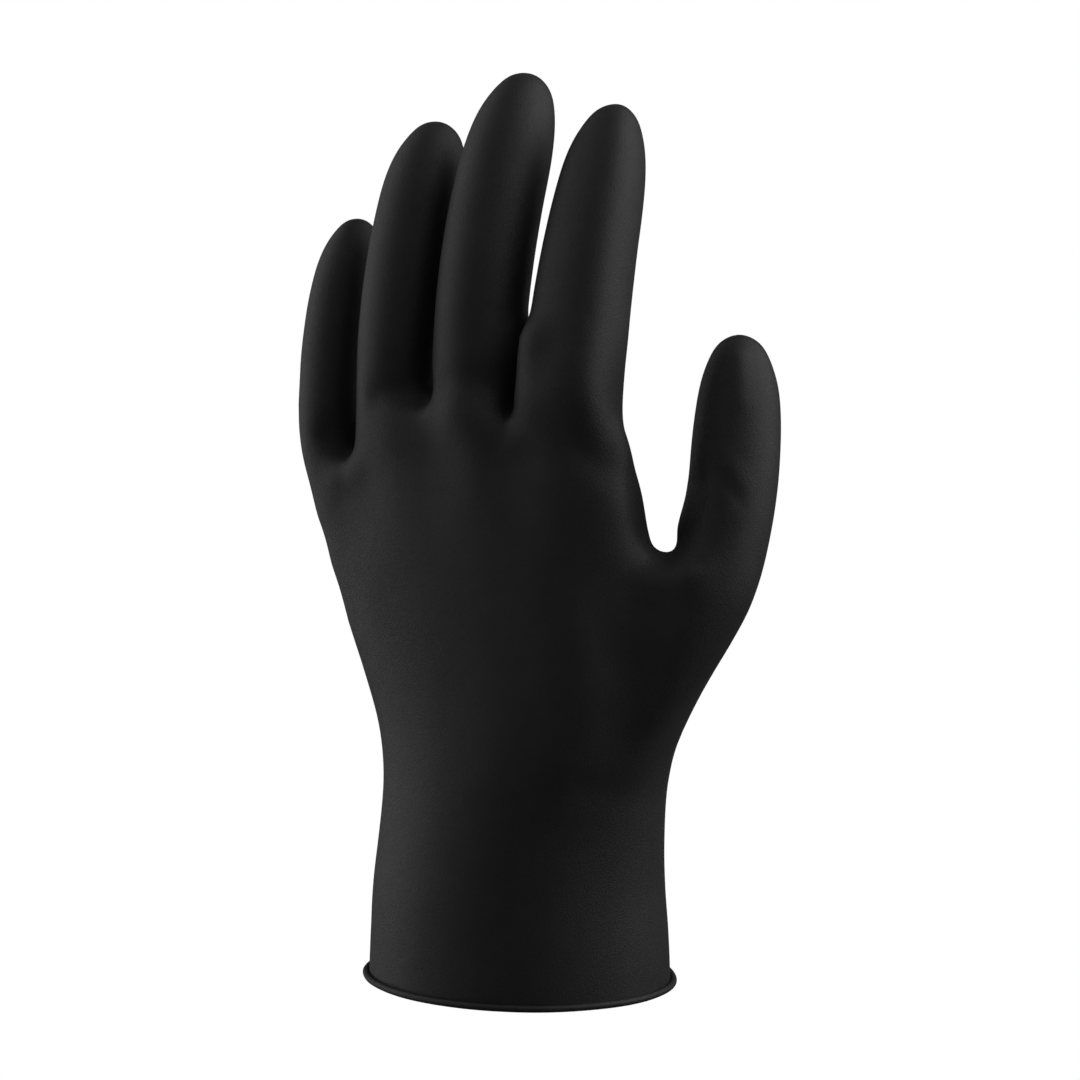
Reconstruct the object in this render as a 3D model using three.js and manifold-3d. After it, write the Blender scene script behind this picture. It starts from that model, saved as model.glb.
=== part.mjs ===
// A black nitrile exam glove, filled out the way a left hand fills it. The glove
// is one dipped film: a flared cuff with a rolled bead, a palm, and five digits.
// Millimetres and degrees. +Z runs from the cuff to the fingertips, +X towards
// the thumb, and the back of the hand faces -Y. The origin is the middle of the
// opening that the hand goes in by, level with the underside of the bead.
import * as THREE from 'three';
import { mergeVertices } from 'three/addons/utils/BufferGeometryUtils.js';
import Module from 'manifold-3d';

// The film and its rolled edge. The bead bites into the film by a part of itself.
const WALL = 1.0;
const BEAD_RADIUS = 1.2;
const BEAD_BITE = 0.4;
const BEAD_SIDES = 8;

// The cuff at its rim, the wrist, and the palm at the finger roots
const CUFF_WIDTH = 83;
const CUFF_DEPTH = 73;
const WRIST_WIDTH = 79;
const WRIST_DEPTH = 67;
const PALM_WIDTH = 97;
const PALM_DEPTH = 29;

// Where the middle of the palm lies from the middle of the cuff
const PALM_ASIDE = -11.5;
const PALM_BACK = -8;

// The webs between the fingers: the height of the highest, how far they fall to
// the back and to the palm, how deep the groove below each is, and how far the
// palm's end of each lies aside from the back's
const WEB_HEIGHT = 157;
const WEB_FALL = 5;
const WEB_GROOVE = 3;
const WEB_SLANT = -2.5;

// How far the web of the thumb stands above the middle of its root's top edge
const THUMB_WEB_RISE = 8;

// The digits, from the middle of the root to the tip, and across
const LITTLE_LENGTH = 72;
const LITTLE_WIDTH = 19.5;
const LITTLE_DEPTH = 20.5;
const RING_LENGTH = 84.5;
const RING_WIDTH = 24;
const RING_DEPTH = 24;
const MIDDLE_LENGTH = 91.5;
const MIDDLE_WIDTH = 25.5;
const MIDDLE_DEPTH = 25;
const INDEX_LENGTH = 88;
const INDEX_WIDTH = 27.5;
const INDEX_DEPTH = 26;
const THUMB_LENGTH = 87;
const THUMB_WIDTH = 23.5;
const THUMB_DEPTH = 23.5;

// Cross-sections from the rim up to the finger roots. up: height, as a share of
// WEB_HEIGHT. flare: 0 is the wrist and 1 the rim. open and thin: 0 is the wrist
// and 1 the palm, in width and in depth. aside and back: shares of the palm's
// offsets. square: 2 is an ellipse, and more is fuller in the corners. follow:
// how far the section follows the slant of the finger roots. web: how far the
// grooves below the webs show in it.
const SECTIONS = [
  { up: 0, flare: 1, open: 0, thin: 0, aside: 0, back: 0, square: 2, follow: 0, web: 0 },
  { up: 0.08, flare: 0.75, open: 0, thin: 0, aside: 0, back: 0, square: 2, follow: 0, web: 0 },
  { up: 0.18, flare: 0.3, open: 0, thin: 0, aside: 0, back: 0, square: 2, follow: 0, web: 0 },
  { up: 0.3, flare: 0, open: 0, thin: 0.1, aside: -0.15, back: 0.1, square: 2, follow: 0, web: 0 },
  { up: 0.43, flare: 0, open: 0.32, thin: 0.3, aside: -0.35, back: 0.3, square: 2.1, follow: 0.1, web: 0 },
  { up: 0.58, flare: 0, open: 0.66, thin: 0.5, aside: -0.08, back: 0.5, square: 2.2, follow: 0.25, web: 0 },
  { up: 0.74, flare: 0, open: 0.84, thin: 0.7, aside: 0.35, back: 0.7, square: 2.3, follow: 0.45, web: 0 },
  { up: 0.88, flare: 0, open: 0.88, thin: 0.9, aside: 0.6, back: 0.9, square: 2.4, follow: 0.7, web: 0.3 },
  { up: 1, flare: 0, open: 1, thin: 1, aside: 1, back: 1, square: 2.4, follow: 1, web: 1 },
];

// The first of the three sections that the thumb's root spans
const THUMB_SECTION = 4;

// The line of the finger roots, from the little finger's outer side to the
// index finger's. across: share of the half width. drop: how far the root lies
// below the highest web, as a share of WEB_HEIGHT. web: 1 is between two fingers.
const ROOTS = [
  { across: -0.93, drop: 0.18, web: 0 },
  { across: -0.81, drop: 0.12, web: 0 },
  { across: -0.64, drop: 0.1, web: 1 },
  { across: -0.38, drop: 0.03, web: 0 },
  { across: -0.12, drop: 0, web: 1 },
  { across: 0.14, drop: -0.01, web: 0 },
  { across: 0.39, drop: 0.02, web: 1 },
  { across: 0.68, drop: 0.02, web: 0 },
  { across: 0.93, drop: 0.06, web: 0 },
];

// The shape of each digit. taper: the share of its width that it loses on the
// way to the tip. aside and back: where its line starts from the middle of the
// root, as shares of its width and depth. lean: its angle towards the thumb's
// side, at the root and at the tip, and settle: how early it takes the tip's.
// bend: its angle towards the palm. turn: how far its root is turned to the palm.
const LITTLE = {
  length: LITTLE_LENGTH, width: LITTLE_WIDTH, depth: LITTLE_DEPTH, taper: 0.08,
  aside: -0.08, back: -0.05, leanRoot: -10, leanTip: 0, settle: 1, bendRoot: 7, bendTip: 29, turn: -14,
};
const RING = {
  length: RING_LENGTH, width: RING_WIDTH, depth: RING_DEPTH, taper: 0.08,
  aside: -0.02, back: -0.08, leanRoot: -5, leanTip: 1, settle: 1, bendRoot: 6, bendTip: 30, turn: -15,
};
const MIDDLE = {
  length: MIDDLE_LENGTH, width: MIDDLE_WIDTH, depth: MIDDLE_DEPTH, taper: 0.08,
  aside: -0.02, back: -0.08, leanRoot: -4, leanTip: 3, settle: 1, bendRoot: 5, bendTip: 31, turn: 2,
};
const INDEX = {
  length: INDEX_LENGTH, width: INDEX_WIDTH, depth: INDEX_DEPTH, taper: 0.26,
  aside: 0.04, back: -0.08, leanRoot: -1, leanTip: -1, settle: 1, bendRoot: 8, bendTip: 28, turn: 10,
};
const THUMB = {
  length: THUMB_LENGTH, width: THUMB_WIDTH, depth: THUMB_DEPTH, taper: 0.05,
  aside: 0.19, back: 0, leanRoot: 30, leanTip: -7, settle: 2, bendRoot: 22, bendTip: 10, turn: 40,
};

// Rings along a digit. along: share of its length. full: share of its width and
// depth. turn: share of the turn of its root.
const FINGER_RINGS = [
  { along: 0.11, full: 0.96, turn: 1 },
  { along: 0.3, full: 0.98, turn: 0.3 },
  { along: 0.53, full: 1, turn: 0 },
  { along: 0.74, full: 0.98, turn: 0 },
  { along: 0.88, full: 0.82, turn: 0 },
  { along: 0.96, full: 0.54, turn: 0 },
];
const THUMB_RINGS = [
  { along: 0.2, full: 1.25, turn: 1 },
  { along: 0.33, full: 1.12, turn: 0.45 },
  { along: 0.46, full: 1.05, turn: 0.12 },
  { along: 0.6, full: 1.02, turn: 0 },
  { along: 0.76, full: 0.98, turn: 0 },
  { along: 0.88, full: 0.83, turn: 0 },
  { along: 0.96, full: 0.55, turn: 0 },
];

// Corners round a digit, the first at this angle from the thumb's side, how
// finely a digit's line is followed, and how often the cage is fitted
const DIGIT_CORNERS = 8;
const FIRST_CORNER = 225;
const PATH_STEPS = 60;
const FIT_ROUNDS = 6;

const radians = THREE.MathUtils.degToRad;
const mix = THREE.MathUtils.lerp;

// One cross-section of the cuff or palm: corners on the back of the hand from
// the little finger's side to the thumb's, the thumb's side, the palm's corners
// back again, and the little finger's side.
function sectionRing(section) {
  const width = WRIST_WIDTH + section.flare * (CUFF_WIDTH - WRIST_WIDTH)
    + section.open * (PALM_WIDTH - WRIST_WIDTH);
  const depth = WRIST_DEPTH + section.flare * (CUFF_DEPTH - WRIST_DEPTH)
    + section.thin * (PALM_DEPTH - WRIST_DEPTH);
  const level = mix(BEAD_RADIUS, WEB_HEIGHT, section.up);
  const fall = section.up === 1 ? WEB_FALL : 0;
  const place = (root, side) => {
    const web = root.web * section.web;
    const bulge = (1 - Math.abs(root.across) ** section.square) ** (1 / section.square);
    return new THREE.Vector3(
      section.aside * PALM_ASIDE + root.across * width / 2 + (side > 0 ? web * WEB_SLANT : 0),
      section.back * PALM_BACK + side * (bulge * depth / 2 - web * WEB_GROOVE),
      level - section.follow * root.drop * WEB_HEIGHT - Math.abs(side) * fall,
    );
  };
  const outer = { ...ROOTS[0], across: -1 };
  const inner = { ...ROOTS[ROOTS.length - 1], across: 1 };
  return [
    ...ROOTS.map((root) => place(root, -1)),
    place(inner, 0),
    ...ROOTS.map((root) => place(root, 1)).reverse(),
    place(outer, 0),
  ];
}

// The quads of the glove, and the place that each of their corners should have
// on the finished surface.
class Cage {
  constructor() {
    this.places = [];
    this.quads = [];
  }

  add(place) {
    this.places.push(place);
    return this.places.length - 1;
  }

  // Quads between two loops of the same count, closed on themselves.
  bridge(lower, upper) {
    lower.forEach((corner, i) => {
      const next = (i + 1) % lower.length;
      this.quads.push([corner, lower[next], upper[next], upper[i]]);
    });
  }

  middle(loop) {
    return loop.reduce((sum, i) => sum.add(this.places[i]), new THREE.Vector3())
      .divideScalar(loop.length);
  }
}

// The direction of a digit at a share of its length, with the axes across it:
// u towards the thumb's side and v towards the palm.
function digitAxes(digit, along, turn = 0) {
  const lean = radians(mix(digit.leanTip, digit.leanRoot, (1 - along) ** digit.settle) + turn);
  const bend = radians(mix(digit.bendRoot, digit.bendTip, along));
  const palmward = new THREE.Vector3(0, 1, 0);
  const upright = new THREE.Vector3(Math.sin(lean), 0, Math.cos(lean));
  return {
    u: new THREE.Vector3(Math.cos(lean), 0, -Math.sin(lean)),
    v: palmward.clone().multiplyScalar(Math.cos(bend)).addScaledVector(upright, -Math.sin(bend)),
    ahead: upright.multiplyScalar(Math.cos(bend)).addScaledVector(palmward, Math.sin(bend)),
  };
}

// The point that lies along a digit's middle line from its root.
function digitPoint(digit, root, along) {
  const point = root.clone();
  const step = along / PATH_STEPS;
  for (let i = 0; i < PATH_STEPS; i += 1) {
    point.addScaledVector(digitAxes(digit, (i + 0.5) * step).ahead, step * digit.length);
  }
  return point;
}

// A digit grown from a root loop of eight corners. The loop starts at the
// corner that lies back and away from the thumb, and goes round by the back.
function growDigit(cage, rootLoop, digit, rings) {
  const start = new THREE.Vector3(digit.aside * digit.width, digit.back * digit.depth, 0);
  const root = cage.middle(rootLoop).add(start);
  let loop = rootLoop;
  for (const ring of rings) {
    const centre = digitPoint(digit, root, ring.along);
    const axes = digitAxes(digit, ring.along, ring.turn * digit.turn);
    const share = ring.full * (1 - digit.taper * ring.along) / 2;
    const next = rootLoop.map((_, i) => {
      const angle = radians(FIRST_CORNER + 360 / DIGIT_CORNERS * i);
      return cage.add(centre.clone()
        .addScaledVector(axes.u, Math.cos(angle) * share * digit.width)
        .addScaledVector(axes.v, Math.sin(angle) * share * digit.depth));
    });
    cage.bridge(loop, next);
    loop = next;
  }
  const tip = cage.add(digitPoint(digit, root, 1));
  for (let i = 0; i < loop.length; i += 2) {
    cage.quads.push([loop[i], loop[i + 1], tip, loop[(i + loop.length - 1) % loop.length]]);
  }
}

// The whole cage: the sections from the rim up, with a hole left for the thumb,
// then the thumb and the four fingers.
function buildCage() {
  const cage = new Cage();
  const rings = SECTIONS.map((section) => sectionRing(section).map((place) => cage.add(place)));
  const thumbSide = ROOTS.length;
  const inThumb = (ring, column) => ring >= THUMB_SECTION && ring < THUMB_SECTION + 2
    && (column === thumbSide - 1 || column === thumbSide);
  for (let r = 0; r + 1 < rings.length; r += 1) {
    rings[r].forEach((corner, c) => {
      const next = (c + 1) % rings[r].length;
      if (inThumb(r, c)) return;
      cage.quads.push([corner, rings[r][next], rings[r + 1][next], rings[r + 1][c]]);
    });
  }
  const [low, mid, high] = rings.slice(THUMB_SECTION, THUMB_SECTION + 3)
    .map((ring) => ring.slice(thumbSide - 1, thumbSide + 2));
  const thumbRoot = [high[0], mid[0], low[0], low[1], low[2], mid[2], high[2], high[1]];
  cage.places[high[1]].z += THUMB_WEB_RISE;
  growDigit(cage, thumbRoot, THUMB, THUMB_RINGS);

  // Each web is one corner between the back and the palm, shared by two fingers.
  const top = rings[rings.length - 1];
  const back = (i) => top[i];
  const front = (i) => top[2 * ROOTS.length - i];
  const webs = [top[top.length - 1], 0, 0, 0, top[thumbSide]];
  for (let w = 1; w < 4; w += 1) {
    const between = cage.middle([back(2 * w), front(2 * w)]);
    between.z += WEB_FALL;
    webs[w] = cage.add(between);
  }
  [LITTLE, RING, MIDDLE, INDEX].forEach((digit, f) => {
    const i = 2 * f;
    growDigit(cage, [back(i), back(i + 1), back(i + 2), webs[f + 1],
      front(i + 2), front(i + 1), front(i), webs[f]], digit, FINGER_RINGS);
  });
  return cage;
}

// For each corner, the corners at the far ends of its edges with how many quads
// use each edge, and the corners across its quads.
function neighbours(count, quads) {
  const found = Array.from({ length: count }, () => ({ edges: new Map(), across: [] }));
  for (const quad of quads) {
    quad.forEach((corner, i) => {
      const sides = [quad[(i + 1) % 4], quad[(i + 3) % 4]];
      for (const side of sides) {
        found[corner].edges.set(side, (found[corner].edges.get(side) || 0) + 1);
      }
      found[corner].across.push(quad[(i + 2) % 4]);
    });
  }
  return found;
}

// Where each corner goes on the limit surface of Catmull-Clark subdivision.
function limitPlaces(places, links) {
  return places.map((place, i) => {
    const { edges, across } = links[i];
    const rim = [...edges].filter(([, uses]) => uses === 1).map(([corner]) => corner);
    if (rim.length === 2) {
      return place.clone().multiplyScalar(4).add(places[rim[0]]).add(places[rim[1]]).divideScalar(6);
    }
    const n = edges.size;
    const sum = place.clone().multiplyScalar(n * n);
    for (const corner of edges.keys()) sum.addScaledVector(places[corner], 4);
    for (const corner of across) sum.add(places[corner]);
    return sum.divideScalar(n * (n + 5));
  });
}

// Moves the cage outwards until its limit surface passes through the places.
function fitCage(cage) {
  const links = neighbours(cage.places.length, cage.quads);
  let places = cage.places;
  for (let round = 0; round < FIT_ROUNDS; round += 1) {
    const reached = limitPlaces(places, links);
    places = places.map((place, i) => place.clone().add(cage.places[i]).sub(reached[i]));
  }
  return places;
}

// One round of Catmull-Clark subdivision, with the open rim kept as a curve.
function subdivide(places, quads) {
  const links = neighbours(places.length, quads);
  const average = (corners) => corners
    .reduce((sum, i) => sum.add(places[i]), new THREE.Vector3()).divideScalar(corners.length);
  const faces = quads.map(average);
  const facesBy = new Map();
  const key = (a, b) => (a < b ? `${a},${b}` : `${b},${a}`);
  quads.forEach((quad, f) => quad.forEach((corner, i) => {
    const edge = key(corner, quad[(i + 1) % 4]);
    if (!facesBy.has(edge)) facesBy.set(edge, []);
    facesBy.get(edge).push(f);
  }));
  const next = places.map((place, i) => {
    const rim = [...links[i].edges].filter(([, uses]) => uses === 1).map(([corner]) => corner);
    if (rim.length === 2) {
      return place.clone().multiplyScalar(6).add(places[rim[0]]).add(places[rim[1]]).divideScalar(8);
    }
    const n = links[i].edges.size;
    const sum = place.clone().multiplyScalar(n - 1.75);
    for (const corner of links[i].edges.keys()) sum.addScaledVector(places[corner], 1.5 / n);
    for (const corner of links[i].across) sum.addScaledVector(places[corner], 0.25 / n);
    return sum.divideScalar(n);
  });
  const facePoints = faces.map((face) => next.push(face) - 1);
  const edgePoints = new Map();
  for (const [edge, sides] of facesBy) {
    const ends = edge.split(',').map(Number);
    const point = average(ends);
    if (sides.length === 2) {
      point.add(faces[sides[0]].clone().add(faces[sides[1]]).divideScalar(2)).divideScalar(2);
    }
    edgePoints.set(edge, next.push(point) - 1);
  }
  const nextQuads = quads.flatMap((quad, f) => quad.map((corner, i) => [
    corner,
    edgePoints.get(key(corner, quad[(i + 1) % 4])),
    facePoints[f],
    edgePoints.get(key(corner, quad[(i + 3) % 4])),
  ]));
  return { places: next, quads: nextQuads };
}

// The corners round the open rim, in order.
function rimLoop(quads) {
  const uses = new Set();
  for (const quad of quads) {
    quad.forEach((corner, i) => uses.add(`${corner},${quad[(i + 1) % 4]}`));
  }
  const after = new Map();
  for (const edge of uses) {
    const [a, b] = edge.split(',').map(Number);
    if (!uses.has(`${b},${a}`)) after.set(a, b);
  }
  const start = after.keys().next().value;
  const loop = [start];
  while (after.get(loop[loop.length - 1]) !== start) loop.push(after.get(loop[loop.length - 1]));
  return loop;
}

// A geometry from places and quads, each quad cut along its shorter diagonal.
function quadGeometry(places, quads) {
  const index = quads.flatMap(([a, b, c, d]) => (
    places[a].distanceToSquared(places[c]) < places[b].distanceToSquared(places[d])
      ? [a, b, c, a, c, d] : [a, b, d, b, c, d]));
  const numbers = places.flatMap((place) => place.toArray());
  const geometry = new THREE.BufferGeometry();
  geometry.setAttribute('position', new THREE.Float32BufferAttribute(numbers, 3));
  geometry.setIndex(index);
  return geometry;
}

// The film as a closed shell: the outer surface, the same surface moved in by
// the wall, and the edge that joins them round the rim.
function shellGeometry(places, quads, rim) {
  const outer = quadGeometry(places, quads);
  outer.computeVertexNormals();
  const normals = outer.getAttribute('normal');
  const onRim = new Set(rim);
  const inner = places.map((place, i) => {
    const inwards = new THREE.Vector3().fromBufferAttribute(normals, i).negate();
    if (onRim.has(i)) inwards.setZ(0).normalize();
    return place.clone().addScaledVector(inwards, WALL);
  });
  const count = places.length;
  const innerQuads = quads.map((quad) => quad.map((corner) => corner + count).reverse());
  const edgeQuads = rim.map((corner, i) => {
    const next = rim[(i + 1) % rim.length];
    return [next, corner, corner + count, next + count];
  });
  return quadGeometry([...places, ...inner], [...quads, ...innerQuads, ...edgeQuads]);
}

// The bead: a roll that runs round the outside of the film's edge.
function beadGeometry(rimPlaces) {
  const count = rimPlaces.length;
  const line = rimPlaces.map((place, i) => {
    const along = rimPlaces[(i + 1) % count].clone().sub(rimPlaces[(i + count - 1) % count]);
    const outwards = new THREE.Vector3(along.y, -along.x, 0).normalize();
    return place.clone().addScaledVector(outwards, BEAD_RADIUS - BEAD_BITE);
  });
  return new THREE.TubeGeometry(new THREE.CatmullRomCurve3(line, true), count, BEAD_RADIUS, BEAD_SIDES, true);
}

const wasm = await Module();
wasm.setup();

function solidOf(geometry) {
  geometry.deleteAttribute('normal');
  geometry.deleteAttribute('uv');
  const merged = mergeVertices(geometry, 1e-3);
  return new wasm.Manifold(new wasm.Mesh({
    numProp: 3,
    vertProperties: merged.getAttribute('position').array,
    triVerts: new Uint32Array(merged.index.array),
  }));
}

function geometryOf(solid) {
  const mesh = solid.getMesh();
  const geometry = new THREE.BufferGeometry();
  geometry.setAttribute('position', new THREE.BufferAttribute(mesh.vertProperties, 3));
  geometry.setIndex(new THREE.BufferAttribute(mesh.triVerts, 1));
  geometry.computeVertexNormals();
  return geometry;
}

const cage = buildCage();
const surface = subdivide(fitCage(cage), cage.quads);
const places = limitPlaces(surface.places, neighbours(surface.places.length, surface.quads));
const rim = rimLoop(surface.quads);
const film = solidOf(shellGeometry(places, surface.quads, rim))
  .add(solidOf(beadGeometry(rim.map((corner) => places[corner]))));

const nitrile = new THREE.MeshStandardMaterial({ color: 0x1b1b1c, roughness: 0.5, metalness: 0 });
const glove = new THREE.Group();
const filmMesh = new THREE.Mesh(geometryOf(film), nitrile);
filmMesh.name = 'glove_film';
glove.add(filmMesh);

export default glove;
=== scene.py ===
"""A black nitrile exam glove, filled out the way a left hand fills it.

The glove is one dipped film. Its cage of quads is grown from the cuff's rim up to
the finger roots, then out along the five digits. The film's edge is rolled up on
itself into the bead, and folds, pads and the film's own unevenness are pressed
into the fine surface.
"""

import logging
import math
from dataclasses import dataclass
from enum import Enum
from typing import Sequence

import bmesh
import bpy
from bmesh.types import BMesh, BMVert
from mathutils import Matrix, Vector, noise
from mathutils.geometry import intersect_point_line


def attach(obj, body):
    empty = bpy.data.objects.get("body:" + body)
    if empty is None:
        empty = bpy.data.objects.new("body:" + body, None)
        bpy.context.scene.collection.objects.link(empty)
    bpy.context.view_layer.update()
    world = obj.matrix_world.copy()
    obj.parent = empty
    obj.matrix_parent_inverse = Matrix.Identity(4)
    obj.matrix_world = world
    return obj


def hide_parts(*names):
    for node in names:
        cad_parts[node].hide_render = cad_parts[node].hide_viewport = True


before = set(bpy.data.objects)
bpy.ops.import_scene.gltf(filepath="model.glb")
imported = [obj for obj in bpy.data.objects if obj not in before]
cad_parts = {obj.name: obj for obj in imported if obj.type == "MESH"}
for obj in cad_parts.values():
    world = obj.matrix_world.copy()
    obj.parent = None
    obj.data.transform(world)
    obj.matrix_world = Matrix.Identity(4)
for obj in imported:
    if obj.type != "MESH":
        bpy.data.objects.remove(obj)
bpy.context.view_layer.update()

MM = 0.001
FADE_END = 3.0
MIX_COLOUR_LOW, MIX_COLOUR_HIGH, MIX_COLOUR_OUT = 6, 7, 2
log = logging.getLogger("glove")


def mix(low: float, high: float, share: float) -> float:
    """Return the value that lies at a share of the way from low to high."""
    return low + (high - low) * share


def linear(hex_colour: str) -> tuple[float, float, float, float]:
    """Turn an sRGB hex colour into linear light.

    Args:
        hex_colour: Six hex digits, such as "161617".

    Returns:
        The colour's red, green and blue in linear light, and an alpha of 1.
    """
    # The sRGB curve is straight near black and a power above that
    shares = [int(hex_colour[i:i + 2], 16) / 255 for i in (0, 2, 4)]
    red, green, blue = (s / 12.92 if s <= 0.04045 else ((s + 0.055) / 1.055) ** 2.4 for s in shares)
    return red, green, blue, 1.0


@dataclass(frozen=True)
class Section:
    """One cross-section of the cuff or palm.

    up is its height as a share of the highest web's. flare is 0 at the wrist and 1
    at the rim. spread and thin are 0 at the wrist and 1 at the finger roots, in width
    and in depth. aside and back are shares of the palm's offsets. square is 2 for
    an ellipse and more where the corners are fuller. follow says how far the
    section slants as the finger roots do, and web how far their grooves show.
    """

    up: float
    flare: float
    spread: float
    thin: float
    aside: float
    back: float
    square: float
    follow: float
    web: float


@dataclass(frozen=True)
class Root:
    """One corner on the line of the finger roots.

    across is a share of the half width, drop how far the corner lies below the
    highest web as a share of its height, and web is 1 between two fingers.
    """

    across: float
    drop: float
    web: float


@dataclass(frozen=True)
class Ring:
    """One ring of corners round a digit: its place, its fullness and its turn."""

    along: float
    full: float
    turn: float


@dataclass(frozen=True)
class Digit:
    """One stall. Lengths are in millimetres and angles in degrees.

    taper is the share of its width that it loses towards the tip. aside and back
    place its line at the root, as shares of its width and depth. lean is its angle
    towards the thumb and bend its angle towards the palm, at the root and at the tip.
    settle is how soon it changes from the one lean to the other, and turn is how far
    its first ring is turned towards the thumb. square is how much fuller than an
    ellipse it is between its back and its sides, and steps is how many short
    straight pieces its middle line is worked out in.
    """

    length: float
    width: float
    depth: float
    taper: float
    aside: float
    back: float
    lean_root: float
    lean_tip: float
    settle: float
    bend_root: float
    bend_tip: float
    turn: float
    square: float = 0.0
    steps: int = 60

    def axes(self, along: float, turn: float = 0.0) -> tuple[Vector, Vector, Vector]:
        """Find the directions across and along the digit.

        Args:
            along: Share of the digit's length.
            turn: Extra angle towards the thumb, in degrees.

        Returns:
            The directions towards the thumb's side, towards the palm, and ahead.
        """
        settled = (1 - along) ** self.settle
        lean = math.radians(mix(self.lean_tip, self.lean_root, settled) + turn)
        bend = math.radians(mix(self.bend_root, self.bend_tip, along))
        palmward = Vector((0, 1, 0))
        upright = Vector((math.sin(lean), 0, math.cos(lean)))
        aside = Vector((math.cos(lean), 0, -math.sin(lean)))
        across = palmward * math.cos(bend) - upright * math.sin(bend)
        ahead = upright * math.cos(bend) + palmward * math.sin(bend)
        return aside, across, ahead

    def point(self, root: Vector, along: float) -> Vector:
        """Follow the digit's middle line from its root.

        Args:
            root: Where the line starts.
            along: Share of the digit's length.

        Returns:
            The point that lies there on the line.
        """
        place = root.copy()
        step = along / self.steps
        for i in range(self.steps):
            place += self.axes((i + 0.5) * step)[2] * step * self.length
        return place


SECTIONS = (
    Section(up=0, flare=1, spread=0, thin=0, aside=0, back=0, square=2, follow=0, web=0),
    Section(up=0.08, flare=0.75, spread=0, thin=0, aside=0, back=0, square=2, follow=0, web=0),
    Section(up=0.18, flare=0.3, spread=0, thin=0, aside=0, back=0, square=2, follow=0, web=0),
    Section(up=0.3, flare=0, spread=0, thin=0.1, aside=-0.15, back=0.1, square=2, follow=0, web=0),
    Section(up=0.43, flare=0, spread=0.32, thin=0.3, aside=-0.35, back=0.3, square=2.1, follow=0.1, web=0),
    Section(up=0.58, flare=0, spread=0.66, thin=0.5, aside=-0.08, back=0.5, square=2.2, follow=0.25, web=0),
    Section(up=0.74, flare=0, spread=0.84, thin=0.7, aside=0.35, back=0.7, square=2.3, follow=0.45, web=0),
    Section(up=0.88, flare=0, spread=0.88, thin=0.9, aside=0.6, back=0.9, square=2.4, follow=0.7, web=0.3),
    Section(up=1, flare=0, spread=1, thin=1, aside=1, back=1, square=2.4, follow=1, web=1),
)

ROOTS = (
    Root(across=-0.93, drop=0.18, web=0),
    Root(across=-0.81, drop=0.12, web=0),
    Root(across=-0.64, drop=0.1, web=1),
    Root(across=-0.38, drop=0.03, web=0),
    Root(across=-0.12, drop=0, web=1),
    Root(across=0.14, drop=-0.01, web=0),
    Root(across=0.39, drop=0.02, web=1),
    Root(across=0.68, drop=0.02, web=0),
    Root(across=0.93, drop=0.06, web=0),
)

FINGER_RINGS = (
    Ring(along=0.11, full=0.96, turn=1),
    Ring(along=0.3, full=0.98, turn=0.3),
    Ring(along=0.53, full=1, turn=0),
    Ring(along=0.74, full=0.98, turn=0),
    Ring(along=0.88, full=0.82, turn=0),
    Ring(along=0.96, full=0.54, turn=0),
)

THUMB_RINGS = (
    Ring(along=0.2, full=1.25, turn=1),
    Ring(along=0.33, full=1.12, turn=0.45),
    Ring(along=0.46, full=1.05, turn=0.12),
    Ring(along=0.6, full=1.02, turn=0),
    Ring(along=0.76, full=0.98, turn=0),
    Ring(along=0.88, full=0.83, turn=0),
    Ring(along=0.96, full=0.55, turn=0),
)

LITTLE = Digit(length=72, width=19.5, depth=20.5, taper=0.08, aside=-0.08, back=-0.05, lean_root=-10,
               lean_tip=0, settle=1, bend_root=7, bend_tip=29, turn=-14)
RING = Digit(length=84.5, width=24, depth=24, taper=0.08, aside=-0.02, back=-0.08, lean_root=-5,
             lean_tip=1, settle=1, bend_root=6, bend_tip=30, turn=-15)
MIDDLE = Digit(length=91.5, width=25.5, depth=25, taper=0.08, aside=-0.02, back=-0.08, lean_root=-4,
               lean_tip=3, settle=1, bend_root=5, bend_tip=31, turn=2)
INDEX = Digit(length=88, width=27.5, depth=26, taper=0.26, aside=0.04, back=-0.08, lean_root=-1,
              lean_tip=-1, settle=1, bend_root=8, bend_tip=28, turn=10, square=0.07)
THUMB = Digit(length=87, width=23.5, depth=23.5, taper=0.05, aside=0.19, back=0, lean_root=30,
              lean_tip=-7, settle=2, bend_root=22, bend_tip=10, turn=40)


@dataclass(frozen=True)
class Fold:
    """A ridge or a crease in the film, between two places on it, in millimetres.

    height is how far it lifts the film along its own outward direction, less than
    0 for a crease. At width away from its line it has died away by two thirds, and
    at FADE_END widths it ends.
    """

    name: str
    start: tuple[float, float, float]
    end: tuple[float, float, float]
    width: float
    height: float

    def lift(self, place: Vector) -> float:
        """Work out how far this fold lifts the film.

        Args:
            place: Where on the film.

        Returns:
            The lift in millimetres.
        """
        start, end = Vector(self.start), Vector(self.end)
        _, share = intersect_point_line(place, start, end)
        nearest = start.lerp(end, min(max(share, 0.0), 1.0))
        away = (place - nearest).length / self.width
        return self.height * math.exp(-away * away) if away < FADE_END else 0.0


@dataclass(frozen=True)
class Ease:
    """A place where the film is stretched smooth, in millimetres, over some rounds."""

    name: str
    place: tuple[float, float, float]
    reach: float
    rounds: int

    def apply(self, bm: BMesh) -> None:
        """Smooth the film's corners within reach of the place.

        Args:
            bm: The fine surface.
        """
        middle = Vector(self.place)
        near = [corner for corner in bm.verts if (corner.co - middle).length < self.reach]
        for _ in range(self.rounds):
            bmesh.ops.smooth_vert(bm, verts=near, factor=0.5,
                                  use_axis_x=True, use_axis_y=True, use_axis_z=True)
        log.debug("eased %s: %d corners", self.name, len(near))


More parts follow.
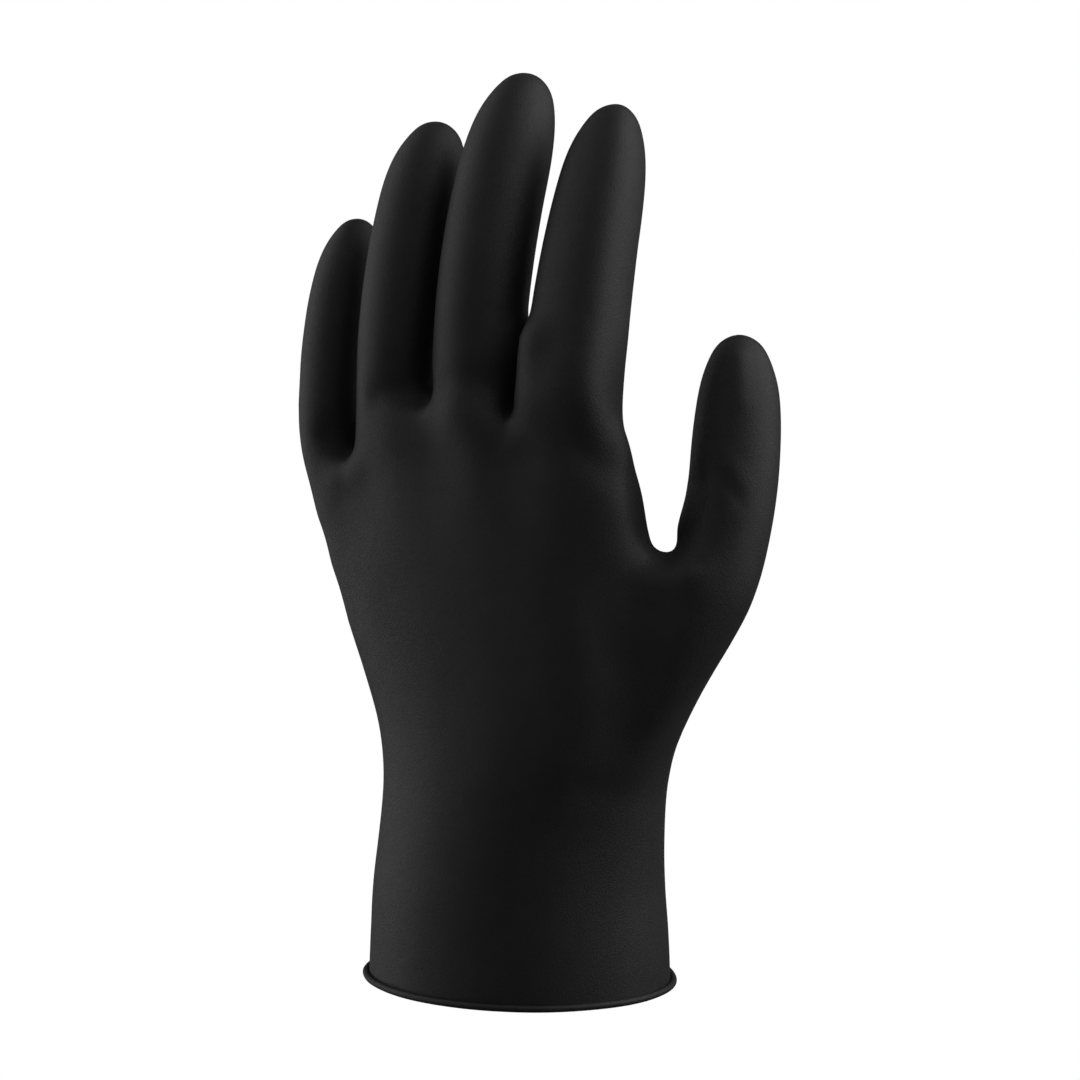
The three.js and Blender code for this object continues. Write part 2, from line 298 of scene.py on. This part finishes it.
EASES = (
    Ease("outer root of the little finger, close", (-55, -12, 122), 12, 40),
    Ease("outer root of the little finger", (-54, -13, 122), 17, 40),
    Ease("outer root of the little finger, wide", (-54, -13, 122), 23, 20),
    Ease("outer root of the little finger, widest", (-54, -13, 122), 29, 8),
    Ease("foot of the thumb's web", (57, -8, 111), 11, 50),
    Ease("foot of the thumb's web, wide", (57, -8, 111), 15, 12),
    Ease("ledge of the thumb's root", (54, -12, 104), 15, 25),
    Ease("ledge of the thumb's root, wide", (54, -12, 104), 20, 10),
    Ease("thumb's side of its web", (53, -2, 125), 9, 40),
    Ease("thumb's side of its web, wide", (53, -2, 125), 13, 12),
)

FOLDS = (
    Fold("pad below the little finger", (-45, -17, 134), (-41, -19, 135), 5, 1.2),
    Fold("pad below the ring finger", (-25, -22, 146), (-19, -22, 147), 6, 0.4),
    Fold("pad below the middle finger", (-6, -22, 151), (3, -22, 149), 5, 0.9),
    Fold("pad below the index finger's web", (8, -19, 147), (10, -20, 145), 4.5, 0.9),
    Fold("foot of the little finger's back", (-50, -16, 144), (-45, -15, 140), 4, -1.0),
    Fold("foot of the ring finger's back", (-31, -20, 156), (-20, -18, 157), 4, -1.2),
    Fold("foot of the middle finger's back", (-9, -21, 160), (2, -19, 160), 4, -0.8),
    Fold("notch beside the thumb's web", (58, -8, 116.5), (53, -7, 119.5), 2.0, -0.5),
    Fold("ridge below the thumb's web", (48, -10, 112), (56, -9.5, 113), 5.5, 1.4),
    Fold("middle finger's side above its web", (4, -6, 160), (4, -6, 171), 5, 2.7),
    Fold("index finger's side above its web", (14, -14, 157), (14.5, -14.5, 171), 5, 3.0),
    Fold("fuller outer root of the little finger", (-52, -12, 121), (-49, -11, 112), 8, 1.7),
    Fold("thumb's side of its web, drawn in", (50.5, -3, 124), (51.5, 0, 134), 7, -1.5),
    Fold("palm's side of the thumb's web, drawn in", (42, -8, 136), (44, -7, 126), 6, -1.3),
    Fold("mound between the palm and the thumb", (36, -20, 98), (38, -18, 84), 9, 1.0),
    Fold("edge down the thumb's tip", (59.5, 11.5, 167), (62, 7.5, 156.5), 2.5, 0.45),
    Fold("long crease across the thumb", (57, 0, 141), (66, 1, 131), 1.5, -0.45),
    Fold("crease beside the thumb's web", (54, 1, 143), (56, 0, 136), 1.6, -0.35),
    Fold("ridge above the long crease", (59, 0, 145), (67, 2, 136), 2.0, 0.3),
    Fold("bump above the wrist", (-40, -17, 91.5), (-37, -19, 90), 2.5, 0.35),
    Fold("bump at the wrist", (-36, -18, 82.5), (-33, -20, 82), 2.5, 0.3),
    Fold("slack on the thumb's side of the wrist", (33, -21, 58), (38, -12, 55), 4, -0.4),
)


@dataclass
class GloveFilm:
    """The dipped film, from the rolled bead to the fingertips, in millimetres."""

    # Cuff, wrist and palm, and how far the palm lies to the side and back of the cuff
    cuff_width: float = 83.0
    cuff_depth: float = 73.0
    wrist_width: float = 79.0
    wrist_depth: float = 67.0
    palm_width: float = 97.0
    palm_depth: float = 29.0
    palm_aside: float = -11.5
    palm_back: float = -8.0
    # Webs between the digits
    web_height: float = 157.0
    web_fall: float = 5.0
    web_groove: float = 3.0
    web_slant: float = -2.5
    thumb_web_rise: float = 8.0
    # The cage: where the thumb leaves it, and the corners round a digit
    thumb_section: int = 4
    corners: int = 8
    first_corner: float = 225.0
    fit_rounds: int = 6
    levels: int = 3
    # The film's thickness, and the spiral of its rolled edge, whose inner end keeps
    # the roll_inner share of its radius
    film: float = 0.15
    bead_radius: float = 1.2
    roll_radius: float = 0.85
    roll_turns: float = 1.6
    roll_steps: int = 26
    roll_inner: float = 0.62
    # Unevenness left by dipping: broad swells and small ripples, which the stiff
    # bead holds flat and which reach their full height at slack_from above it
    swell_height: float = 0.16
    swell_size: float = 23.0
    ripple_height: float = 0.05
    ripple_size: float = 8.0
    slack_from: float = 12.0
    sections: Sequence[Section] = SECTIONS

    def section_ring(self, section: Section) -> list[Vector]:
        """Place the corners of one cross-section.

        Args:
            section: The cross-section's shares.

        Returns:
            The corners on the back of the hand from the little finger's side to the
            thumb's, the thumb's side, the palm's corners back again, and the little
            finger's side.
        """
        width = (self.wrist_width + section.flare * (self.cuff_width - self.wrist_width)
                 + section.spread * (self.palm_width - self.wrist_width))
        depth = (self.wrist_depth + section.flare * (self.cuff_depth - self.wrist_depth)
                 + section.thin * (self.palm_depth - self.wrist_depth))
        level = mix(self.bead_radius, self.web_height, section.up)
        fall = self.web_fall if section.up == 1 else 0.0

        def place(across: float, root: Root, side: int) -> Vector:
            """Place one corner.

            Args:
                across: Share of the half width.
                root: The corner's row in the table of finger roots.
                side: -1 on the back, 1 on the palm and 0 on either side.

            Returns:
                The corner's place.
            """
            web = root.web * section.web
            bulge = (1 - abs(across) ** section.square) ** (1 / section.square)
            slant = web * self.web_slant if side > 0 else 0.0
            return Vector((
                section.aside * self.palm_aside + across * width / 2 + slant,
                section.back * self.palm_back + side * (bulge * depth / 2 - web * self.web_groove),
                level - section.follow * root.drop * self.web_height - abs(side) * fall,
            ))

        back = [place(root.across, root, -1) for root in ROOTS]
        palm = [place(root.across, root, 1) for root in reversed(ROOTS)]
        return [*back, place(1.0, ROOTS[-1], 0), *palm, place(-1.0, ROOTS[0], 0)]

    def extrude_loop(self, bm: BMesh, loop: Sequence[BMVert], places: Sequence[Vector]) -> list[BMVert]:
        """Extrude a closed loop of edges and set its new corners on their places.

        Args:
            bm: The mesh being grown.
            loop: The loop's corners in order.
            places: Where the new corners go, in the same order.

        Returns:
            The new corners, in the same order.
        """
        edges = [bm.edges.get((loop[i], loop[(i + 1) % len(loop)])) for i in range(len(loop))]
        made = bmesh.ops.extrude_edge_only(bm, edges=edges)["geom"]
        fresh = {part for part in made if isinstance(part, BMVert)}
        risen = [next(edge.other_vert(corner) for edge in corner.link_edges
                      if edge.other_vert(corner) in fresh) for corner in loop]
        for corner, place in zip(risen, places):
            corner.co = place
        return risen

    def grow_digit(self, bm: BMesh, root_loop: Sequence[BMVert], digit: Digit,
                   rings: Sequence[Ring]) -> None:
        """Grow a digit out of a loop of root corners and close its tip.

        Args:
            bm: The mesh being grown.
            root_loop: The root's corners, from the one that lies back and away from
                the thumb, round by the back.
            digit: The digit's sizes.
            rings: Its rings, from the root on.
        """
        root = sum((corner.co for corner in root_loop), Vector()) / len(root_loop)
        root += Vector((digit.aside * digit.width, digit.back * digit.depth, 0))
        loop = list(root_loop)
        for ring in rings:
            centre = digit.point(root, ring.along)
            aside, across, _ = digit.axes(ring.along, ring.turn * digit.turn)
            share = ring.full * (1 - digit.taper * ring.along) / 2
            angles = [math.radians(self.first_corner + 360 / self.corners * i)
                      for i in range(self.corners)]
            fuller = [1 + digit.square * math.sin(2 * a) ** 2 for a in angles]
            loop = self.extrude_loop(bm, loop, [
                centre + (aside * math.cos(a) * digit.width
                          + across * math.sin(a) * digit.depth) * share * full
                for a, full in zip(angles, fuller)])
        tip = bm.verts.new(digit.point(root, 1.0))
        for i in range(0, self.corners, 2):
            bm.faces.new((loop[i], loop[i + 1], tip, loop[i - 1]))

    def cage(self) -> BMesh:
        """Grow the cage: cuff and palm section by section, then the thumb and fingers.

        Returns:
            The cage, with each corner where the finished surface should pass.
        """
        bm = bmesh.new()
        first = self.section_ring(self.sections[0])
        ring = bmesh.ops.create_circle(bm, cap_ends=False, segments=len(first),
                                       radius=self.cuff_width / 2)["verts"]
        for corner, place in zip(ring, first):
            corner.co = place
        rings = [ring]
        for section in self.sections[1:]:
            rings.append(self.extrude_loop(bm, rings[-1], self.section_ring(section)))

        side = len(ROOTS)
        beside_thumb = rings[self.thumb_section:self.thumb_section + 3]
        low, mid, high = (ring[side - 1:side + 2] for ring in beside_thumb)
        hole = list(mid[1].link_faces)
        thumb_root = [high[0], mid[0], low[0], low[1], low[2], mid[2], high[2], high[1]]
        bmesh.ops.delete(bm, geom=hole, context="FACES")
        high[1].co.z += self.thumb_web_rise
        self.grow_digit(bm, thumb_root, THUMB, THUMB_RINGS)

        top = rings[-1]
        between = [self.web_corner(bm, top[2 * w], top[2 * side - 2 * w]) for w in (1, 2, 3)]
        webs = [top[-1], *between, top[side]]
        for finger, digit in enumerate((LITTLE, RING, MIDDLE, INDEX)):
            i = 2 * finger
            far = 2 * side - i
            self.grow_digit(bm, [top[i], top[i + 1], top[i + 2], webs[finger + 1],
                                 top[far - 2], top[far - 1], top[far], webs[finger]], digit, FINGER_RINGS)
        return bm

    def web_corner(self, bm: BMesh, back: BMVert, palm: BMVert) -> BMVert:
        """Join the back and the palm between two fingers by a raised corner.

        Args:
            bm: The mesh being grown.
            back: The web's corner on the back of the hand.
            palm: Its corner on the palm.

        Returns:
            The raised corner.
        """
        middle = bm.verts.new((back.co + palm.co) / 2 + Vector((0, 0, self.web_fall)))
        bm.edges.new((back, middle))
        bm.edges.new((middle, palm))
        return middle

    def limit_place(self, corner: BMVert) -> Vector:
        """Find where a corner ends up once the cage is subdivided without end.

        Args:
            corner: A corner of the cage.

        Returns:
            Its place on the smooth surface.
        """
        # The weights are those of Catmull-Clark surfaces, on a rim and elsewhere
        rim = [edge.other_vert(corner) for edge in corner.link_edges if edge.is_boundary]
        if len(rim) == 2:
            return (corner.co * 4 + rim[0].co + rim[1].co) / 6
        n = len(corner.link_edges)
        total = corner.co * n * n
        for edge in corner.link_edges:
            total += edge.other_vert(corner).co * 4
        for loop in corner.link_loops:
            total += loop.link_loop_next.link_loop_next.vert.co
        return total / (n * (n + 5))

    def fit(self, bm: BMesh) -> None:
        """Move the corners outwards until the smooth surface passes through their places.

        Args:
            bm: The cage.
        """
        wanted = [corner.co.copy() for corner in bm.verts]
        for _ in range(self.fit_rounds):
            reached = [self.limit_place(corner) for corner in bm.verts]
            for corner, goal, place in zip(bm.verts, wanted, reached):
                corner.co += goal - place

    def smooth(self, bm: BMesh) -> BMesh:
        """Subdivide the cage into the fine surface.

        Args:
            bm: The fitted cage, which this frees.

        Returns:
            The fine surface as a mesh of its own.
        """
        mesh = bpy.data.meshes.new("glove_cage")
        bm.to_mesh(mesh)
        bm.free()
        cage = bpy.data.objects.new("glove_cage", mesh)
        bpy.context.scene.collection.objects.link(cage)
        subsurf = cage.modifiers.new("smooth", "SUBSURF")
        subsurf.levels = subsurf.render_levels = self.levels
        fine = bmesh.new()
        fine.from_object(cage, bpy.context.evaluated_depsgraph_get())
        bpy.data.objects.remove(cage)
        bpy.data.meshes.remove(mesh)
        return fine

    def rim(self, bm: BMesh) -> list[BMVert]:
        """Walk round the film's open edge.

        Args:
            bm: The fine surface.

        Returns:
            The corners of its rim in order.
        """
        start = next(corner for corner in bm.verts if corner.is_boundary)
        loop, edge = [start], next(edge for edge in start.link_edges if edge.is_boundary)
        while edge.other_vert(loop[-1]) is not start:
            loop.append(edge.other_vert(loop[-1]))
            edge = next(other for other in loop[-1].link_edges
                        if other.is_boundary and other is not edge)
        return loop

    def press_folds(self, bm: BMesh) -> None:
        """Lift and press the film where it puckers, and make it a little uneven.

        Args:
            bm: The fine surface.
        """
        moves = []
        for corner in bm.verts:
            place = corner.co
            lift = sum(fold.lift(place) for fold in FOLDS)
            free = min(place.z / self.slack_from, 1.0)
            lift += (free * self.swell_height * noise.noise(place / self.swell_size)
                     + free * self.ripple_height * noise.noise(place / self.ripple_size))
            moves.append(corner.normal * lift)
        for corner, move in zip(bm.verts, moves):
            corner.co += move
        log.debug("pressed %s", ", ".join(fold.name for fold in FOLDS))

    def roll_bead(self, bm: BMesh) -> None:
        """Roll the film's edge outwards and up on itself, by extruding its rim round a spiral.

        Args:
            bm: The fine surface.
        """
        loop = self.rim(bm)
        rim = [corner.co.copy() for corner in loop]
        count = len(rim)
        outwards = []
        for i, place in enumerate(rim):
            along = rim[(i + 1) % count] - rim[i - 1]
            out = Vector((along.y, -along.x, 0)).normalized()
            outwards.append(out if out.dot(place) > 0 else -out)
        for step in range(1, self.roll_steps + 1):
            share = step / self.roll_steps
            angle = math.pi * (1 + 2 * self.roll_turns * share)
            radius = self.roll_radius * mix(1.0, self.roll_inner, share)
            reach = self.roll_radius + radius * math.cos(angle)
            rise = self.roll_radius - self.bead_radius + radius * math.sin(angle)
            loop = self.extrude_loop(bm, loop, [
                Vector((place.x, place.y, place.z + rise)) + out * reach
                for place, out in zip(rim, outwards)])

    def build(self) -> bpy.types.Object:
        """Make the film as an object.

        Returns:
            The finished piece, which rides on the glove's one body.
        """
        bm = self.cage()
        bmesh.ops.recalc_face_normals(bm, faces=bm.faces)
        self.fit(bm)
        bm = self.smooth(bm)
        for ease in EASES:
            ease.apply(bm)
        bm.normal_update()
        self.press_folds(bm)
        self.roll_bead(bm)
        bmesh.ops.recalc_face_normals(bm, faces=bm.faces)
        if bm.calc_volume(signed=True) < 0:
            bmesh.ops.reverse_faces(bm, faces=bm.faces)
        bmesh.ops.scale(bm, vec=(MM, MM, MM), verts=bm.verts)
        for face in bm.faces:
            face.smooth = True
        mesh = bpy.data.meshes.new("nitrile_film")
        bm.to_mesh(mesh)
        bm.free()
        piece = bpy.data.objects.new("nitrile_film", mesh)
        bpy.context.scene.collection.objects.link(piece)
        wall = piece.modifiers.new("wall", "SOLIDIFY")
        wall.thickness = self.film * MM
        wall.offset = -1.0
        mesh.materials.append(NitrileFinish().material())
        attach(piece, "root")
        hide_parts("glove_film")
        return piece


def add_node(tree: bpy.types.NodeTree, kind: str, settings: dict | None = None,
             **links: object) -> bpy.types.Node:
    """Add a shader node with its settings and links.

    Args:
        tree: The node tree that gets it.
        kind: The node's type, such as "ShaderNodeBump".
        settings: Values of its properties, or of its input sockets by name.
        **links: Output sockets to join to its inputs, by the input's name with
            spaces written as underscores.

    Returns:
        The new node.
    """
    node = tree.nodes.new(kind)
    for name, value in (settings or {}).items():
        if name in node.inputs:
            node.inputs[name].default_value = value
        else:
            setattr(node, name, value)
    for name, socket in links.items():
        tree.links.new(socket, node.inputs[name.replace("_", " ")])
    return node


@dataclass(frozen=True)
class NitrileFinish:
    """Black nitrile rubber, dipped and then chlorinated, which leaves it matt.

    The eye sees a near-black skin with a broad soft gloss along edges that face
    away, and a fine grain that breaks the gloss into specks. Sizes are in
    millimetres.
    """

    dark: str = "1b1b1b"
    light: str = "2c2c2d"
    ior: float = 1.5
    gloss: float = 0.38
    roughness: float = 0.58
    roughness_spread: float = 0.08
    # Cloudy patches of the dip, of about a fingernail's size
    mottle: float = 9.0
    mottle_detail: float = 6.0
    mottle_roughness: float = 0.7
    # The real grain is too fine to show, so it is drawn this coarse and deep
    grain: float = 0.42
    grain_depth: float = 0.12
    grain_detail: float = 2.0
    grain_roughness: float = 0.6
    grain_low: float = 0.3
    grain_high: float = 0.7

    def material(self) -> bpy.types.Material:
        """Make the material.

        Returns:
            A node material that reads Object coordinates in metres.
        """
        material = bpy.data.materials.new("dipped_nitrile_rubber")
        material.use_nodes = True
        tree = material.node_tree
        tree.nodes.clear()
        place = add_node(tree, "ShaderNodeTexCoord").outputs["Object"]
        mottle = add_node(tree, "ShaderNodeTexNoise", {
            "Scale": 1 / (self.mottle * MM), "Detail": self.mottle_detail,
            "Roughness": self.mottle_roughness}, Vector=place).outputs["Fac"]
        grain = add_node(tree, "ShaderNodeTexNoise", {
            "Scale": 1 / (self.grain * MM), "Detail": self.grain_detail,
            "Roughness": self.grain_roughness}, Vector=place).outputs["Fac"]
        colour = add_node(tree, "ShaderNodeMix", {"data_type": "RGBA"})
        colour.inputs[MIX_COLOUR_LOW].default_value = linear(self.dark)
        colour.inputs[MIX_COLOUR_HIGH].default_value = linear(self.light)
        tree.links.new(mottle, colour.inputs[0])
        rough = add_node(tree, "ShaderNodeMapRange", {
            "From Min": self.grain_low, "From Max": self.grain_high,
            "To Min": self.roughness - self.roughness_spread,
            "To Max": self.roughness + self.roughness_spread}, Value=grain).outputs["Result"]
        bump = add_node(tree, "ShaderNodeBump", {"Strength": 1.0, "Distance": self.grain_depth * MM},
                        Height=grain).outputs["Normal"]
        shader = add_node(tree, "ShaderNodeBsdfPrincipled", {
            "IOR": self.ior, "Metallic": 0.0, "Specular IOR Level": self.gloss},
            Base_Color=colour.outputs[MIX_COLOUR_OUT], Roughness=rough, Normal=bump)
        add_node(tree, "ShaderNodeOutputMaterial", {}, Surface=shader.outputs["BSDF"])
        return material


class LightPlace(Enum):
    """Where each soft light stands: degrees round from the camera, and degrees up."""

    LEFT = (-106.0, 14.0)
    RIGHT = (84.0, 34.0)
    TOP = (10.0, 68.0)


@dataclass(frozen=True)
class Studio:
    """Pale floor, soft lights at both sides and above, and the camera. Metres and degrees."""

    azimuth: float = 32.0
    elevation: float = 6.8
    aim: tuple[float, float, float] = (0.00449, 0.00314, 0.11736)
    distance: float = 1.0
    lens: float = 126.7
    light_distance: float = 0.9
    light_width: float = 1.2
    light_height: float = 1.3
    left_power: float = 4.6
    right_power: float = 8.0
    top_power: float = 0.5
    floor_radius: float = 30.0
    floor_gap: float = 0.0005
    floor_sides: int = 64
    view_end: float = 200.0
    pale: float = 1.0
    dim: float = 0.07

    def towards(self, azimuth: float, elevation: float) -> Vector:
        """Return the direction from the object to something at these angles."""
        a, e = math.radians(azimuth), math.radians(elevation)
        return Vector((math.sin(a) * math.cos(e), -math.cos(a) * math.cos(e), math.sin(e)))

    def camera(self) -> None:
        """Make the scene's camera."""
        camera = bpy.data.objects.new("camera", bpy.data.cameras.new("camera"))
        bpy.context.scene.collection.objects.link(camera)
        away = self.towards(self.azimuth, self.elevation)
        camera.location = Vector(self.aim) + away * self.distance
        camera.rotation_euler = away.to_track_quat("Z", "Y").to_euler()
        camera.data.lens = self.lens
        camera.data.clip_end = self.view_end
        bpy.context.scene.camera = camera

    def light(self, spot: LightPlace, power: float) -> None:
        """Stand one tall soft light near the object, turned to it.

        Args:
            spot: Where it stands.
            power: Its power in watts.
        """
        data = bpy.data.lights.new(f"side_light_{spot.name.lower()}", "AREA")
        data.shape = "RECTANGLE"
        data.size = self.light_width
        data.size_y = self.light_height
        data.energy = power
        light = bpy.data.objects.new(data.name, data)
        bpy.context.scene.collection.objects.link(light)
        turn, rise = spot.value
        away = self.towards(self.azimuth + turn, rise)
        light.location = Vector(self.aim) + away * self.light_distance
        light.rotation_euler = away.to_track_quat("Z", "Y").to_euler()

    def surround(self) -> None:
        """Make the pale surround that the camera sees, and a dim one that the glove mirrors."""
        world = bpy.data.worlds.new("studio")
        bpy.context.scene.world = world
        world.use_nodes = True
        tree = world.node_tree
        tree.nodes.clear()
        seen = add_node(tree, "ShaderNodeLightPath").outputs["Is Camera Ray"]
        pale = add_node(tree, "ShaderNodeBackground", {"Color": (1, 1, 1, 1), "Strength": self.pale})
        dim = add_node(tree, "ShaderNodeBackground", {"Color": (1, 1, 1, 1), "Strength": self.dim})
        # The mixer's two shader sockets share a name, so its sockets go by number
        both = add_node(tree, "ShaderNodeMixShader", {})
        tree.links.new(seen, both.inputs[0])
        tree.links.new(dim.outputs[0], both.inputs[1])
        tree.links.new(pale.outputs[0], both.inputs[2])
        add_node(tree, "ShaderNodeOutputWorld", {}, Surface=both.outputs[0])

    def floor(self) -> None:
        """Lay the plain pale floor, evenly lit and left out of the glove's gloss."""
        bm = bmesh.new()
        bmesh.ops.create_circle(bm, cap_ends=True, segments=self.floor_sides, radius=self.floor_radius)
        bmesh.ops.translate(bm, vec=(0, 0, -self.floor_gap), verts=bm.verts)
        mesh = bpy.data.meshes.new("floor")
        bm.to_mesh(mesh)
        bm.free()
        floor = bpy.data.objects.new("floor", mesh)
        bpy.context.scene.collection.objects.link(floor)
        paint = bpy.data.materials.new("evenly_lit_white_floor")
        paint.use_nodes = True
        paint.node_tree.nodes.clear()
        glow = add_node(paint.node_tree, "ShaderNodeEmission", {"Color": (1, 1, 1, 1), "Strength": self.pale})
        add_node(paint.node_tree, "ShaderNodeOutputMaterial", {}, Surface=glow.outputs[0])
        mesh.materials.append(paint)
        floor.visible_glossy = floor.visible_diffuse = floor.visible_shadow = False

    def build(self) -> None:
        """Set up the whole studio."""
        self.floor()
        self.camera()
        self.light(LightPlace.LEFT, self.left_power)
        self.light(LightPlace.RIGHT, self.right_power)
        self.light(LightPlace.TOP, self.top_power)
        self.surround()
        bpy.context.scene.view_settings.view_transform = "Standard"


def main() -> None:
    """Build the glove and the studio."""
    logging.basicConfig(level=logging.INFO, format="%(name)s: %(message)s")
    piece = GloveFilm().build()
    log.info("%s: %d faces", piece.name, len(piece.data.polygons))
    Studio().build()
    log.info("studio ready")


if __name__ == "__main__":
    main()
